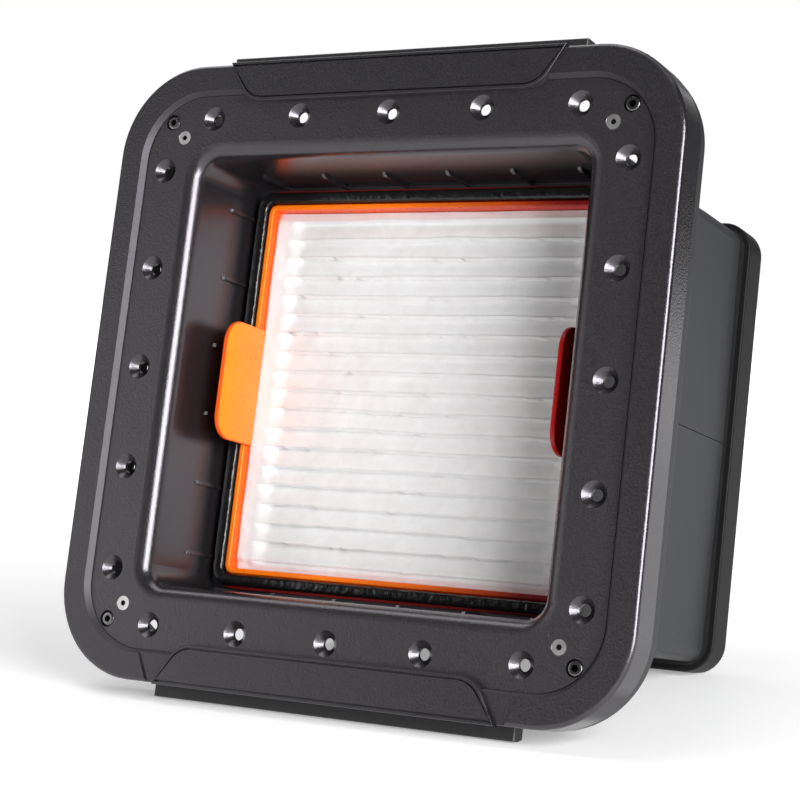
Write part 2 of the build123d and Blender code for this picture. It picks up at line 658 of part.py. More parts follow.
wire_depth = cover_back + WIRE_RADIUS
ring_depth = wire_depth + 1.8 * WIRE_RADIUS
with BuildPart(front) as finger_guard:
    with Locations(*[(0, FAN_RISE, -ring_depth)]):
        for ring_radius in GUARD_RINGS:
            Torus(ring_radius, WIRE_RADIUS)
    bolt_radius = FAN_HOLE_SPACING / math.sqrt(2)
    for turn in quarter_turns:
        spoke = turned(45 + turn)
        spoke_start = place(0, FAN_RISE, wire_depth) + spoke.x_dir * (GUARD_RINGS[0] - 2)
        with BuildSketch(Plane(spoke_start, x_dir=spoke.y_dir, z_dir=spoke.x_dir)):
            Circle(WIRE_RADIUS)
        extrude(amount=bolt_radius - GUARD_RINGS[0] - 1)
    pins(fan_bolts, GUARD_EYE, cover_back, cover_back + 2 * WIRE_RADIUS)
    pins(fan_bolts, FAN_SCREW_HOLE, cover_back, cover_back + 2 * WIRE_RADIUS, mode=Mode.SUBTRACT)
finger_guard.part.label = "finger_guard"
export_step(finger_guard.part, "parts/finger_guard.step")

with BuildPart(front) as fan_screws:
    guard_back = cover_back + 2 * WIRE_RADIUS
    screws(fan_bolts, guard_back + FAN_HEAD[1], -1, FAN_HEAD, FAN_SHANK, FAN_SOCKET)
fan_screws.part.label = "fan_screws"
export_step(fan_screws.part, "parts/fan_screws.step")


# ---------------------------------------------------------------- fan
hub_front = fan_front + HUB_FRONT
hub_back = fan_front + HUB_BACK
base_front = fan_back - BASE_THICK
tube_front = fan_front + TUBE_START
rear_bearing_front = base_front - BEARING_WIDTH - 0.5
front_bearing_front = tube_front + 0.5
clip_front = rear_bearing_front + BEARING_WIDTH + 0.3

with BuildPart(front) as fan_frame:
    for flange_front in (fan_front, fan_back - FAN_FLANGE):
        plate(2 * FAN_HALF, 2 * FAN_HALF, flange_front, flange_front + FAN_FLANGE, centre=fan_at,
              corner=FAN_CORNER)
    disc(DUCT_OUTER_RADIUS, fan_front, fan_back, centre=fan_at)
    disc(DUCT_RADIUS, fan_front, fan_back, mode=Mode.SUBTRACT, centre=fan_at)
    pins(fan_bolts, FAN_MOUNT_HOLE, fan_front, fan_back, mode=Mode.SUBTRACT)
    # motor base on four struts, and the tube that holds the bearings
    for turn in (45, 135):
        with BuildSketch(station(fan_back)):
            with Locations(Location((0, FAN_RISE, 0), (0, 0, turn))):
                Rectangle(2 * DUCT_RADIUS + 1, STRUT_WIDTH)
        extrude(amount=BASE_THICK)
    disc(BASE_RADIUS, base_front, fan_back, centre=fan_at)
    disc(TUBE_RADIUS, tube_front, base_front, centre=fan_at)
    disc(BEARING_RADIUS + RUNNING_GAP, tube_front, base_front + 1.5, mode=Mode.SUBTRACT, centre=fan_at)
fan_frame.part.label = "fan_frame"
export_step(fan_frame.part, "parts/fan_frame.step")

with BuildPart(front) as fan_rotor:
    disc(HUB_RADIUS, hub_front, hub_back, centre=fan_at)
    fillet(front_face(fan_rotor).edges(), HUB_EDGE_RADIUS)
    hub_floor = hub_front + HUB_WALL
    boss_end = hub_floor + BOSS_REACH
    disc(HUB_RADIUS - HUB_WALL, hub_floor, hub_back, mode=Mode.SUBTRACT, centre=fan_at)
    disc(BOSS_RADIUS, hub_floor, boss_end, centre=fan_at)
    disc(SHAFT_RADIUS + RUNNING_GAP, hub_floor, boss_end, mode=Mode.SUBTRACT, centre=fan_at)
    # twisted blades, steeper at the hub than at the tip
    for n in range(BLADE_COUNT):
        spoke = turned(n * 360 / BLADE_COUNT)
        for radius, (pitch, chord) in ((HUB_RADIUS - 1, BLADE_ROOT), (BLADE_TIP_RADIUS + 1.5, BLADE_TIP)):
            along = spoke.y_dir * math.cos(math.radians(pitch)) + outward * math.sin(math.radians(pitch))
            middle = place(0, FAN_RISE, fan_front + BLADE_MIDDLE) + spoke.x_dir * radius
            with BuildSketch(Plane(middle, x_dir=along, z_dir=spoke.x_dir)):
                SlotOverall(chord, BLADE_THICK)
        loft()
    disc(HUB_RADIUS - HUB_WALL, boss_end + 0.1, hub_back, mode=Mode.SUBTRACT, centre=fan_at)
    disc(BLADE_TIP_RADIUS, fan_front, fan_back, mode=Mode.INTERSECT, centre=fan_at)
fan_rotor.part.label = "fan_rotor"
export_step(fan_rotor.part, "parts/fan_rotor.step")

with BuildPart(front) as rotor_yoke:
    yoke_front = fan_front + YOKE_START
    disc(HUB_RADIUS - HUB_WALL - RUNNING_GAP, yoke_front, hub_back - 1, centre=fan_at)
    disc(YOKE_INNER, yoke_front, hub_back - 1, mode=Mode.SUBTRACT, centre=fan_at)
rotor_yoke.part.label = "rotor_yoke"
export_step(rotor_yoke.part, "parts/rotor_yoke.step")

with BuildPart(front) as rotor_magnet:
    magnet_front = fan_front + MAGNET_START
    disc(YOKE_INNER - RUNNING_GAP, magnet_front, hub_back - 2, centre=fan_at)
    disc(MAGNET_INNER, magnet_front, hub_back - 2, mode=Mode.SUBTRACT, centre=fan_at)
rotor_magnet.part.label = "rotor_magnet"
export_step(rotor_magnet.part, "parts/rotor_magnet.step")

with BuildPart(front) as fan_shaft:
    disc(SHAFT_RADIUS, hub_front + HUB_WALL, clip_front, centre=fan_at)
    disc(SHAFT_NECK, clip_front, clip_front + CLIP_THICK + 0.1, centre=fan_at)
    disc(SHAFT_RADIUS, clip_front + CLIP_THICK + 0.1, clip_front + 1.2, centre=fan_at)
fan_shaft.part.label = "fan_shaft"
export_step(fan_shaft.part, "parts/fan_shaft.step")

with BuildPart(front) as shaft_clip:
    disc(BOSS_RADIUS - 1, clip_front + 0.05, clip_front + CLIP_THICK, centre=fan_at)
    disc(SHAFT_NECK + RUNNING_GAP, clip_front, clip_front + CLIP_THICK, mode=Mode.SUBTRACT, centre=fan_at)
shaft_clip.part.label = "shaft_clip"
export_step(shaft_clip.part, "parts/shaft_clip.step")

bearing_starts = {"front_bearing": front_bearing_front, "rear_bearing": rear_bearing_front}
for name, bearing_front in bearing_starts.items():
    with BuildPart(front) as bearing:
        bearing_back = bearing_front + BEARING_WIDTH
        disc(BEARING_RADIUS, bearing_front, bearing_back, centre=fan_at)
        disc(SHAFT_RADIUS + RUNNING_GAP, bearing_front, bearing_back, mode=Mode.SUBTRACT, centre=fan_at)
        chamfer(bearing.edges().filter_by(GeomType.CIRCLE).sort_by(SortBy.RADIUS)[-2:], 0.3)
    bearing.part.label = name
    export_step(bearing.part, f"parts/{name}.step")

stator_front = fan_front + STATOR_FRONT
stator_back = fan_front + STATOR_BACK
tooth_angle = 360 / TOOTH_COUNT
with BuildPart(front) as stator_core:
    with BuildSketch(station(stator_back)):
        with Locations(fan_at):
            Circle(STATOR_RADIUS)
            Circle(STATOR_RADIUS - CORE_RING, mode=Mode.SUBTRACT)
        for n in range(TOOTH_COUNT):
            with Locations(Location((0, FAN_RISE, 0), (0, 0, (n + 0.5) * tooth_angle))):
                Rectangle(STATOR_RADIUS + 1, SLOT_WIDTH, align=(Align.MIN, Align.CENTER),
                          mode=Mode.SUBTRACT)
        for n in range(TOOTH_COUNT):
            with Locations(Location((0, FAN_RISE, 0), (0, 0, n * tooth_angle))):
                Rectangle(STATOR_RADIUS - 1, TOOTH_WIDTH, align=(Align.MIN, Align.CENTER))
        with Locations(fan_at):
            Circle(CORE_INNER)
            Circle(TUBE_RADIUS + RUNNING_GAP, mode=Mode.SUBTRACT)
    extrude(amount=stator_back - stator_front)
stator_core.part.label = "stator_core"
export_step(stator_core.part, "parts/stator_core.step")

with BuildPart(front) as stator_windings:
    core_length = stator_back - stator_front
    for n in range(TOOTH_COUNT):
        spoke = turned(n * tooth_angle)
        coil_start = place(0, FAN_RISE, (stator_front + stator_back) / 2) + spoke.x_dir * COIL_START
        with BuildSketch(Plane(coil_start, x_dir=spoke.y_dir, z_dir=spoke.x_dir)):
            RectangleRounded(TOOTH_WIDTH + 2 * COIL_WALL, core_length + 2 * COIL_WALL, 1.5)
            Rectangle(TOOTH_WIDTH + 0.2, core_length + 0.2, mode=Mode.SUBTRACT)
        extrude(amount=COIL_LENGTH)
stator_windings.part.label = "stator_windings"
export_step(stator_windings.part, "parts/stator_windings.step")

with BuildPart(front) as motor_board:
    board_front = base_front - 1.6
    board_back = board_front + BOARD_THICK
    disc(STATOR_RADIUS, board_front, board_back, centre=fan_at)
    disc(TUBE_RADIUS + RUNNING_GAP, board_front, board_back, mode=Mode.SUBTRACT, centre=fan_at)
motor_board.part.label = "motor_board"
export_step(motor_board.part, "parts/motor_board.step")


# ---------------------------------------------------------------- mains inlet and switch
inlet_flange_back = cover_back + INLET_FLANGE_THICK
inlet_body_front = cover_back - INLET_BODY_DEPTH
socket_front = cover_back - INLET_SOCKET_DEPTH
with BuildPart(front) as power_inlet:
    plate(*INLET_FLANGE, cover_back, inlet_flange_back, centre=inlet_at, corner=5.0)
    chamfer(back_face(power_inlet).edges(), INLET_CHAMFER)
    plate(*INLET_BODY, inlet_body_front, cover_back, centre=inlet_at, corner=2.8)
    plate(*INLET_SOCKET, socket_front, inlet_flange_back, mode=Mode.SUBTRACT, centre=inlet_at,
          corner=INLET_SOCKET_CORNER)
    pins(inlet_bolts, CLEARANCE_HOLE, cover_back, inlet_flange_back, mode=Mode.SUBTRACT)
    pins(inlet_bolts, INLET_SINK_RADIUS, inlet_flange_back, cover_back, mode=Mode.SUBTRACT, taper=45)
power_inlet.part.label = "power_inlet"
export_step(power_inlet.part, "parts/power_inlet.step")

with BuildPart(front) as inlet_pins:
    # the middle contact sits higher than the two outer ones
    pin_places = [(INLET_X + n * CONTACT_STEP, CONTROLS_RISE + 2 - 4 * abs(n)) for n in (-1, 0, 1)]
    with BuildSketch(station(socket_front)):
        with Locations(*pin_places):
            Rectangle(*CONTACT)
    extrude(amount=-CONTACT_LENGTH)
    with BuildSketch(station(inlet_body_front)):
        with Locations(*pin_places):
            Rectangle(*BLADE_TERMINAL)
    extrude(amount=TERMINAL_LENGTH)
inlet_pins.part.label = "inlet_pins"
export_step(inlet_pins.part, "parts/inlet_pins.step")

with BuildPart(front) as inlet_screws:
    inlet_heads = inlet_flange_back - SUNK_HEAD_AT
    screws(inlet_bolts, inlet_heads, -1, SUNK_HEAD, INLET_SHANK, SUNK_SOCKET, countersunk=True)
inlet_screws.part.label = "inlet_screws"
export_step(inlet_screws.part, "parts/inlet_screws.step")

bezel_back = cover_back + SWITCH_BEZEL_THICK
switch_body_front = cover_back - SWITCH_BODY_DEPTH
pivot = place(SWITCH_X, CONTROLS_RISE, bezel_back - PIVOT_BELOW_BEZEL)
with BuildPart(front) as switch_body:
    plate(*SWITCH_BEZEL, cover_back, bezel_back, centre=switch_at, corner=2.0)
    chamfer(back_face(switch_body).edges(), SWITCH_CHAMFER)
    plate(*SWITCH_BODY, switch_body_front, cover_back, centre=switch_at)
    plate(*CAVITY, cover_back - CAVITY_DEPTH, bezel_back, mode=Mode.SUBTRACT, centre=switch_at)
    with BuildSketch(Plane(pivot, x_dir=front.y_dir, z_dir=front.x_dir)):
        Circle(PIVOT_RADIUS + RUNNING_GAP)
    extrude(amount=PIVOT_LENGTH / 2 + 0.2, both=True, mode=Mode.SUBTRACT)
switch_body.part.label = "switch_body"
export_step(switch_body.part, "parts/switch_body.step")

# rocker at rest in the off position, with its upper end proud; x runs up and y out of the back
tilt = math.radians(ROCKER_TILT)
rocker_up = front.y_dir * math.cos(tilt) - outward * math.sin(tilt)
rocker_plane = Plane(pivot, x_dir=rocker_up, z_dir=-front.x_dir)
dish = ((-ROCKER_HALF_LENGTH, ROCKER_HIGH), (0, ROCKER_DISH), (ROCKER_HALF_LENGTH, ROCKER_HIGH))
underside = ((ROCKER_HALF_LENGTH, 1.0), (5.0, -1.0), (-5.0, -1.0), (-ROCKER_HALF_LENGTH, 1.0))
above = ((ROCKER_HALF_LENGTH, ROCKER_BARREL), (-ROCKER_HALF_LENGTH, ROCKER_BARREL))
with BuildPart(rocker_plane) as switch_rocker:
    with BuildSketch(rocker_plane):
        Circle(ROCKER_BARREL)
        Polygon(*dish, *underside, align=None)
        # the face that a finger presses is dished
        Polygon(*dish, *above, align=None, mode=Mode.SUBTRACT)
    extrude(amount=ROCKER_WIDTH / 2, both=True)
    with BuildSketch(rocker_plane):
        Circle(PIVOT_RADIUS)
    extrude(amount=PIVOT_LENGTH / 2, both=True)
switch_rocker.part.label = "switch_rocker"
export_step(switch_rocker.part, "parts/switch_rocker.step")

with BuildPart(front) as switch_terminals:
    with BuildSketch(station(switch_body_front)):
        with Locations((SWITCH_X, CONTROLS_RISE - 6), (SWITCH_X, CONTROLS_RISE + 1)):
            Rectangle(*reversed(BLADE_TERMINAL))
    extrude(amount=TERMINAL_LENGTH)
switch_terminals.part.label = "switch_terminals"
export_step(switch_terminals.part, "parts/switch_terminals.step")
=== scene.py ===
"""Looks of the solder fume extractor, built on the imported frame."""

import json
import math

import bmesh
import bpy
from mathutils import Matrix, Vector
from mathutils import noise as field


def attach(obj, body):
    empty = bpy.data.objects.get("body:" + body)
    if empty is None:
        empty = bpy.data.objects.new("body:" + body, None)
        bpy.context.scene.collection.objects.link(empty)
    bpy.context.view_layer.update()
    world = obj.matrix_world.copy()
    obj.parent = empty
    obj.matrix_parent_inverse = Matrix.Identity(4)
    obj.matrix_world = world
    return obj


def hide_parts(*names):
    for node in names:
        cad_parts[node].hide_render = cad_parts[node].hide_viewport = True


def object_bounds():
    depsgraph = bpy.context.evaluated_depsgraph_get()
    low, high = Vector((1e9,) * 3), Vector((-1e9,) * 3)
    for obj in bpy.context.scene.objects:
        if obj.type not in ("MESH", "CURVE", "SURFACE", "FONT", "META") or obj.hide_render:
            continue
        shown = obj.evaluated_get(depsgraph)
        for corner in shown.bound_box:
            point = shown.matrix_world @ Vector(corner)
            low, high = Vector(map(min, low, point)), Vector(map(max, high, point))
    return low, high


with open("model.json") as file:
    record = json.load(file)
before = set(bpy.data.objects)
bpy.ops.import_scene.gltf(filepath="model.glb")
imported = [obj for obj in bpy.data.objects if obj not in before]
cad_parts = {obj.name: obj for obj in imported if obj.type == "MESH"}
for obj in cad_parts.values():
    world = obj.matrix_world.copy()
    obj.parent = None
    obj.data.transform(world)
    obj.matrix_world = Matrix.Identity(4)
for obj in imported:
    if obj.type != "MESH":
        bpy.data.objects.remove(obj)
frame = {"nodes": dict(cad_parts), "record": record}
cad_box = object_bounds()
record = frame["record"]
nodes = frame["nodes"]
MM = 0.001

# ---- the leaning frame of the front panel, in millimetres --------------------

mounts = {mount["name"]: mount for mount in record["mounts"]}
joints = {joint["name"]: joint for joint in record["behaviour"]["joints"]}
HOLE_WALL_DEPTH = 3.325     # the mount point lies this far behind the panel's face
across = Vector((1, 0, 0))
outward = Vector(joints["filter_slide"]["axis"]).normalized()
upward = outward.cross(across)
face_middle = Vector(mounts["panel_holes_middle"]["pos_m"]) + outward * HOLE_WALL_DEPTH * MM


def at(x, rise, depth):
    """The place x to the right, rise up the face and depth behind it, in millimetres."""
    return face_middle + (across * x + upward * rise - outward * depth) * MM


def heading(x, rise, depth):
    """The direction that leads right by x, up the face by rise and behind it by depth."""
    return (at(x, rise, depth) - face_middle).normalized()


# ---- materials ---------------------------------------------------------------

MATT_STEP = 0.55                # roughness of the frame's inner step, which hands don't polish
POLISH_FADE = 3.0               # millimetres over which that step turns into the polished edge
WALL_FACING = (0.84, 0.985)     # below the first a surface is a wall, above the second it looks out
WEAR = 0.12                     # strength of the broad, lighter patches of the plastic
WEAR_SIZE = 60.0                # millimetres across such a patch
WEAR_SHADE = 2.2                # how much lighter it would be at full strength
SOCKET_FADE = 0.15              # millimetres over which a screw's socket turns dark with painted shade
SOCKET_PAINTED_SHADE = 0.03                    # painted shade: colour of the metal at the bottom of a socket, as a share of its own
PAINTED_LIGHT_FROM = -30.0               # painted light: the tray's colour is painted fully lit left of this, in millimetres across
PAINTED_SHADE_TO = 62.0                  # and painted fully shaded right of this
LIGHT_THROUGH_CLOTH = 0.06      # glow of the cloth, standing in for the light that comes through it
COOL = (0.96, 0.91, 1.0)        # tint of the reflections on the black plastic


def add(tree, kind, **values):
    """A new node with the given properties and input values."""
    node = tree.nodes.new(kind)
    for key, value in values.items():
        if hasattr(node, key) and key not in node.inputs:
            setattr(node, key, value)
        else:
            node.inputs[key].default_value = value
    return node


def noise(tree, size, detail=2.0, roughness=0.5):
    """A noise whose grains are size millimetres across."""
    place = add(tree, "ShaderNodeTexCoord")
    texture = add(tree, "ShaderNodeTexNoise", Scale=1.0 / (size * MM), Detail=detail, Roughness=roughness)
    tree.links.new(place.outputs["Object"], texture.inputs["Vector"])
    return texture.outputs["Fac"]


def remap(tree, value, low, high, start=0.3, end=0.7):
    """value from start to end becomes low to high."""
    node = add(tree, "ShaderNodeMapRange")
    node.inputs["From Min"].default_value = start
    node.inputs["From Max"].default_value = end
    node.inputs["To Min"].default_value = low
    node.inputs["To Max"].default_value = high
    tree.links.new(value, node.inputs["Value"])
    return node.outputs["Result"]


def blend_colours(tree, factor, first, second):
    """first where factor is 0, second where it is 1."""
    node = add(tree, "ShaderNodeMix", data_type="RGBA")
    tree.links.new(factor, node.inputs["Factor"])
    for socket, colour in (("A", first), ("B", second)):
        target = [s for s in node.inputs if s.name == socket and s.type == "RGBA"][0]
        if isinstance(colour, tuple):
            target.default_value = (*colour, 1.0)
        else:
            tree.links.new(colour, target)
    return [s for s in node.outputs if s.type == "RGBA"][0]


def bump(tree, height, distance, strength=1.0):
    """A bump of that many millimetres."""
    node = add(tree, "ShaderNodeBump", Strength=strength, Distance=distance * MM)
    tree.links.new(height, node.inputs["Height"])
    return node.outputs["Normal"]


def reach(tree, vector, direction):
    """How far a vector goes in a direction."""
    node = add(tree, "ShaderNodeVectorMath", operation="DOT_PRODUCT")
    node.inputs[1].default_value = direction
    tree.links.new(vector, node.inputs[0])
    return node.outputs["Value"]


def calculate(tree, operation, *values):
    """One step of arithmetic on outputs of nodes or plain numbers."""
    node = add(tree, "ShaderNodeMath", operation=operation)
    for socket, value in zip(node.inputs, values):
        if isinstance(value, float):
            socket.default_value = value
        else:
            tree.links.new(value, socket)
    return node.outputs["Value"]


def material(name):
    """A new material with its node tree and its shader."""
    made = bpy.data.materials.new(name)
    made.use_nodes = True
    return made, made.node_tree, made.node_tree.nodes["Principled BSDF"]


def shade(colour, factor):
    """The colour made lighter or darker by a factor."""
    return tuple(min(1.0, part * factor) for part in colour)


def turned_away(tree):
    """0 on faces that look straight out of the front, 1 on walls, rolled edges and countersinks."""
    normal = add(tree, "ShaderNodeNewGeometry").outputs["Normal"]
    facing_out = calculate(tree, "ABSOLUTE", reach(tree, normal, outward))
    return remap(tree, facing_out, 1.0, 0.0, *WALL_FACING)


def reach_in(tree):
    """Distance of the surface from the middle of the face, across or up, whichever is more, in metres."""
    place = add(tree, "ShaderNodeTexCoord").outputs["Object"]
    distances = []
    for direction in (across, upward):
        offset = calculate(tree, "SUBTRACT", reach(tree, place, direction), direction.dot(face_middle))
        distances.append(calculate(tree, "ABSOLUTE", offset))
    return calculate(tree, "MAXIMUM", *distances)


def moulded(name, colour, gloss, wall_gloss=None, grain=0.55, height=0.022, speckle=0.25, specular=0.5,
            tint=(1.0, 1.0, 1.0), polished_from=None):
    """Fine-grained moulded plastic, smoother on its walls and edges if wall_gloss is given.

    With polished_from, the walls nearer the middle of the face than that many millimetres stay matt.
    """
    made, tree, shader = material(name)
    fine = noise(tree, grain, 3.0, 0.6)
    grains = remap(tree, fine, 0, 1)
    speckled = blend_colours(tree, grains, shade(colour, 1 - speckle), shade(colour, 1 + speckle))
    wear = remap(tree, noise(tree, WEAR_SIZE), 0, WEAR)
    worn = blend_colours(tree, wear, speckled, shade(colour, WEAR_SHADE))
    tree.links.new(worn, shader.inputs["Base Color"])
    roughness = remap(tree, fine, gloss - 0.06, gloss + 0.07)
    normal = bump(tree, fine, height, 0.8)
    if wall_gloss is not None:
        walls = turned_away(tree)
        softer = add(tree, "ShaderNodeMix", data_type="FLOAT")
        tree.links.new(walls, softer.inputs["Factor"])
        tree.links.new(roughness, softer.inputs["A"])
        softer.inputs["B"].default_value = wall_gloss
        if polished_from is not None:
            start = polished_from * MM
            end = start + POLISH_FADE * MM
            handled = remap(tree, reach_in(tree), MATT_STEP, wall_gloss, start, end)
            tree.links.new(handled, softer.inputs["B"])
        roughness = softer.outputs["Result"]
        tree.links.new(remap(tree, walls, 0.8, 0.3, 0.0, 1.0), normal.node.inputs["Strength"])
    tree.links.new(roughness, shader.inputs["Roughness"])
    tree.links.new(normal, shader.inputs["Normal"])
    shader.inputs["Specular IOR Level"].default_value = specular
    shader.inputs["Specular Tint"].default_value = (*tint, 1.0)
    return made


def depth_in(tree):
    """Depth of the surface behind the panel's face, in metres."""
    place = add(tree, "ShaderNodeTexCoord").outputs["Object"]
    return calculate(tree, "ADD", reach(tree, place, -outward), outward.dot(face_middle))


def metal(name, colour, gloss, scratch=0.3, height=0.01, socket_from=None):
    """Metal with fine tool marks, with painted shade deeper than socket_from millimetres if that is given.
    """
    made, tree, shader = material(name)
    fine = noise(tree, scratch, 4.0, 0.7)
    tone = blend_colours(tree, remap(tree, noise(tree, 4.0), 0, 1), shade(colour, 0.8), shade(colour, 1.1))
    # painted shade: the metal is darkened deeper than socket_from, where the socket's walls shade it
    if socket_from is not None:
        start = socket_from * MM
        end = start + SOCKET_FADE * MM
        socket_shade_share = remap(tree, depth_in(tree), 0.0, 1.0, start, end)
        tone = blend_colours(tree, socket_shade_share, tone, shade(colour, SOCKET_PAINTED_SHADE))
    tree.links.new(tone, shader.inputs["Base Color"])
    tree.links.new(remap(tree, fine, gloss - 0.06, gloss + 0.12), shader.inputs["Roughness"])
    tree.links.new(bump(tree, fine, height, 0.5), shader.inputs["Normal"])
    shader.inputs["Metallic"].default_value = 1.0
    return made


def rubber(name, colour, gloss, grain, height):
    """Black rubber or foam with a skin."""
    made, tree, shader = material(name)
    fine = noise(tree, grain, 3.0, 0.6)
    tone = blend_colours(tree, remap(tree, fine, 0, 1), shade(colour, 0.7), shade(colour, 1.3))
    tree.links.new(tone, shader.inputs["Base Color"])
    tree.links.new(remap(tree, noise(tree, 3.0), gloss - 0.05, gloss + 0.1), shader.inputs["Roughness"])
    tree.links.new(bump(tree, fine, height), shader.inputs["Normal"])
    return made


def fluorescent(name, lit, shaded):
    """Fluorescent orange plastic with painted light: its colour is painted lit at one side of the tray and
    painted shaded at the other.
    """
    made, tree, shader = material(name)
    place = add(tree, "ShaderNodeTexCoord")
    along = add(tree, "ShaderNodeSeparateXYZ")
    tree.links.new(place.outputs["Object"], along.inputs["Vector"])
    # painted light and shade: the colour turns from the painted lit colour to the painted shaded one across
    # the tray
    painted_shade_share = remap(tree, along.outputs["X"], 0.0, 1.0, PAINTED_LIGHT_FROM * MM, PAINTED_SHADE_TO * MM)
    cloud = noise(tree, 14.0, 2.0)
    bright = blend_colours(tree, remap(tree, cloud, 0, 1), shade(lit, 0.88), lit)
    tree.links.new(blend_colours(tree, painted_shade_share, bright, shaded), shader.inputs["Base Color"])
    tree.links.new(remap(tree, noise(tree, 2.0, 4.0), 0.26, 0.36), shader.inputs["Roughness"])
    tree.links.new(bump(tree, noise(tree, 1.2), 0.02, 0.5), shader.inputs["Normal"])
    shader.inputs["Specular IOR Level"].default_value = 0.35
    shader.inputs["Subsurface Weight"].default_value = 0.1
    shader.inputs["Subsurface Radius"].default_value = (1.0, 0.3, 0.05)
    shader.inputs["Subsurface Scale"].default_value = 1.5 * MM
    return made


def nonwoven(name):
    """White non-woven filter fabric."""
    made, tree, shader = material(name)
    fibre = noise(tree, 0.5, 6.0, 0.75)
    felt = noise(tree, 5.0, 3.0)
    tone = blend_colours(tree, remap(tree, felt, 0, 1), (0.64, 0.63, 0.63), (0.7, 0.7, 0.7))
    soft = blend_colours(tree, remap(tree, fibre, 0, 0.5), tone, (0.58, 0.57, 0.57))
    tree.links.new(soft, shader.inputs["Base Color"])
    tree.links.new(remap(tree, fibre, 0.85, 0.98), shader.inputs["Roughness"])
    tree.links.new(bump(tree, fibre, 0.12, 0.6), shader.inputs["Normal"])
    shader.inputs["Specular IOR Level"].default_value = 0.2
    shader.inputs["Sheen Weight"].default_value = 0.15
    shader.inputs["Emission Color"].default_value = (0.95, 0.98, 1.0, 1.0)
    shader.inputs["Emission Strength"].default_value = LIGHT_THROUGH_CLOTH
    return made


finishes = {
    "panel_plastic": moulded("panel_plastic", (0.0095, 0.0087, 0.0098), 0.37, 0.24, 0.85, 0.2,
                             specular=1.0, tint=COOL),
    "frame_plastic": moulded("frame_plastic", (0.0082, 0.0077, 0.0086), 0.37, 0.18, 0.85, 0.2,
                             specular=0.9, tint=COOL, polished_from=115.0),
    "backing_plastic": moulded("backing_plastic", (0.009, 0.0088, 0.0095), 0.45),
    "strip_rubber": moulded("strip_rubber", (0.014, 0.014, 0.0145), 0.5),
    "housing_plastic": moulded("housing_plastic", (0.017, 0.0175, 0.0197), 0.5, speckle=0.12, specular=0.4),
    "rear_plastic": moulded("rear_plastic", (0.006, 0.006, 0.006), 0.5, specular=0.15),
    "fan_plastic": moulded("fan_plastic", (0.012, 0.012, 0.013), 0.35),
    "control_plastic": moulded("control_plastic", (0.009, 0.009, 0.009), 0.25, speckle=0.1, height=0.01),
    "carbon_frame_board": moulded("carbon_frame_board", (0.35, 0.3, 0.24), 0.8, speckle=0.1),
    "carbon": rubber("carbon", (0.012, 0.012, 0.012), 0.55, 2.2, 0.8),
    "seal_rubber": rubber("seal_rubber", (0.006, 0.006, 0.006), 0.5, 0.6, 0.04),
    "bead_rubber": rubber("bead_rubber", (0.004, 0.004, 0.004), 0.16, 1.1, 0.16),
    "bright_steel": metal("bright_steel", (0.74, 0.73, 0.72), 0.34, socket_from=0.35),
    "dark_steel": metal("dark_steel", (0.2, 0.2, 0.2), 0.24, socket_from=1.1),
    "guard_chrome": metal("guard_chrome", (0.7, 0.7, 0.7), 0.15, 0.8, 0.004),
    "bearing_steel": metal("bearing_steel", (0.55, 0.55, 0.55), 0.3),
    "copper": metal("copper", (0.62, 0.24, 0.1), 0.35, 0.4, 0.05),
    "contact_brass": metal("contact_brass", (0.72, 0.55, 0.26), 0.25),
    "magnet": metal("magnet", (0.06, 0.06, 0.06), 0.6),
    "board_green": moulded("board_green", (0.02, 0.16, 0.06), 0.3, speckle=0.15, height=0.02),
    # painted light: the tray's plastic is painted lit at its left and shaded at its right
    "tray_orange": fluorescent("tray_orange", (1.0, 0.2, 0.003), (0.3, 0.006, 0.005)),
    "media_white": nonwoven("media_white"),
}
# A redder copy of the tray's plastic that stays brighter in the shade, for its walls and edges: painted
# glow standing in for light carried through the plastic.
tray_wall_painted_glow = fluorescent("tray_wall_painted_glow", (1.0, 0.1, 0.002), (0.55, 0.006, 0.005))
# A dark copy of the tray's plastic for the flange behind the bead: painted shade.
tray_flange_painted_shade = fluorescent("tray_flange_painted_shade", (0.3, 0.01, 0.008), (0.2, 0.006, 0.006))
for entry in record["subparts"]:
    mesh = nodes[entry["node"]].data
    mesh.materials.clear()
    mesh.materials.append(finishes[entry["material_slot"]])

# ---- helpers for new pieces --------------------------------------------------


def piece(name, mesh, slot, body, *replaced):
    """A new piece made from a bmesh, riding on body."""
    data = bpy.data.meshes.new(name)
    bmesh.ops.recalc_face_normals(mesh, faces=mesh.faces)
    mesh.to_mesh(data)
    mesh.free()
    for polygon in data.polygons:
        polygon.use_smooth = True
    obj = bpy.data.objects.new(name, data)
    bpy.context.scene.collection.objects.link(obj)
    data.materials.append(finishes[slot])
    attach(obj, body)
    if replaced:
        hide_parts(*replaced)
    return obj


def bridge(mesh, first, second):
    """Faces between two closed rings of vertices."""
    count = len(first)
    for i in range(count):
        j = (i + 1) % count
        mesh.faces.new((first[i], first[j], second[j], second[i]))


def rounded_square(half, radius, step):
    """Spots round a rounded square as (x, rise, outward x, outward rise), about step apart."""
    flat = half - radius
    centres = ((flat, -flat), (flat, flat), (-flat, flat), (-flat, -flat))
    turns = max(5, round(radius * math.pi / 2 / step))
    runs = max(1, round(2 * flat / step))
    spots = []
    for corner, (cx, cy) in enumerate(centres):
        for k in range(turns + 1):
            angle = math.radians(90 * (corner - 1 + k / turns))
            nx, ny = math.cos(angle), math.sin(angle)
            spots.append((cx + radius * nx, cy + radius * ny, nx, ny))
        next_x, next_y = centres[(corner + 1) % 4]
        for k in range(1, runs):
            x = cx + radius * nx + (next_x - cx) * k / runs
            y = cy + radius * ny + (next_y - cy) * k / runs
            spots.append((x, y, nx, ny))
    return spots


